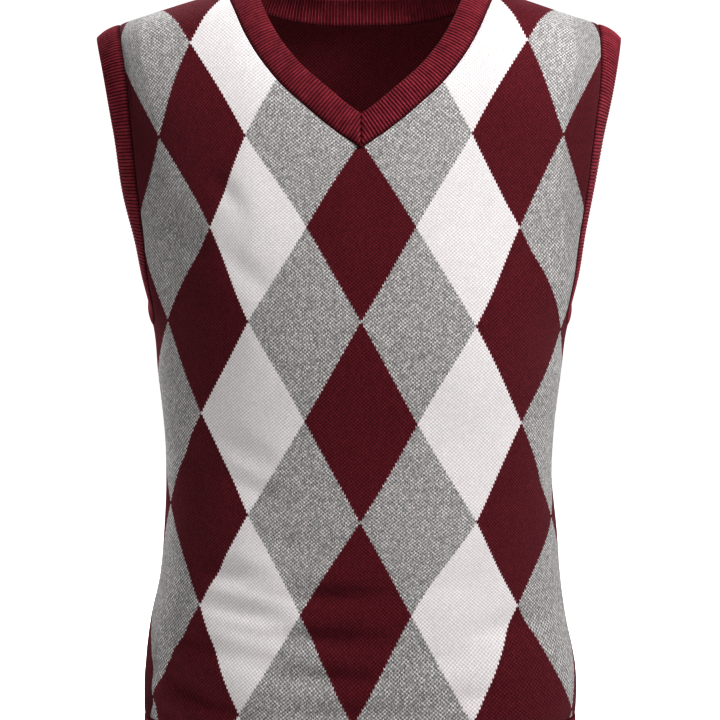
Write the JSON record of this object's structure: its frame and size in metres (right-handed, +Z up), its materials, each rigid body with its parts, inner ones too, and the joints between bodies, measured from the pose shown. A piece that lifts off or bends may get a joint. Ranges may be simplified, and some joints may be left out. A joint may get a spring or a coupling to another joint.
{
  "type": "knitted sweater vest",
  "caption": "Sleeveless V-neck knitted vest with an argyle front, a plain back and ribbed neck, armhole and hem bands, held in its hollow worn form.",
  "frame": {"origin": "on the centre line, level with the high points of the shoulders, in the plane of the shoulder and side seams, where a wearer's shoulders hold the vest up", "axes": "+Z up, -Y the way the front faces, +X to the right of the front view"},
  "size_m": [0.45, 0.2213, 0.6901],
  "materials": {
    "argyle_knit": "fine stocking stitch in burgundy, heather grey and off-white diamonds, matt with a soft nap",
    "plain_knit": "fine burgundy stocking stitch, matt with a soft nap",
    "rib_knit": "burgundy one by one rib, matt with a soft nap"
  },
  "bodies": {
    "root": {"front": "argyle_knit", "back": "plain_knit", "neck_band": "rib_knit", "armhole_band_left": "rib_knit", "armhole_band_right": "rib_knit", "hem_rib_front": "rib_knit", "hem_rib_back": "rib_knit"}
  },
  "joints": []
}
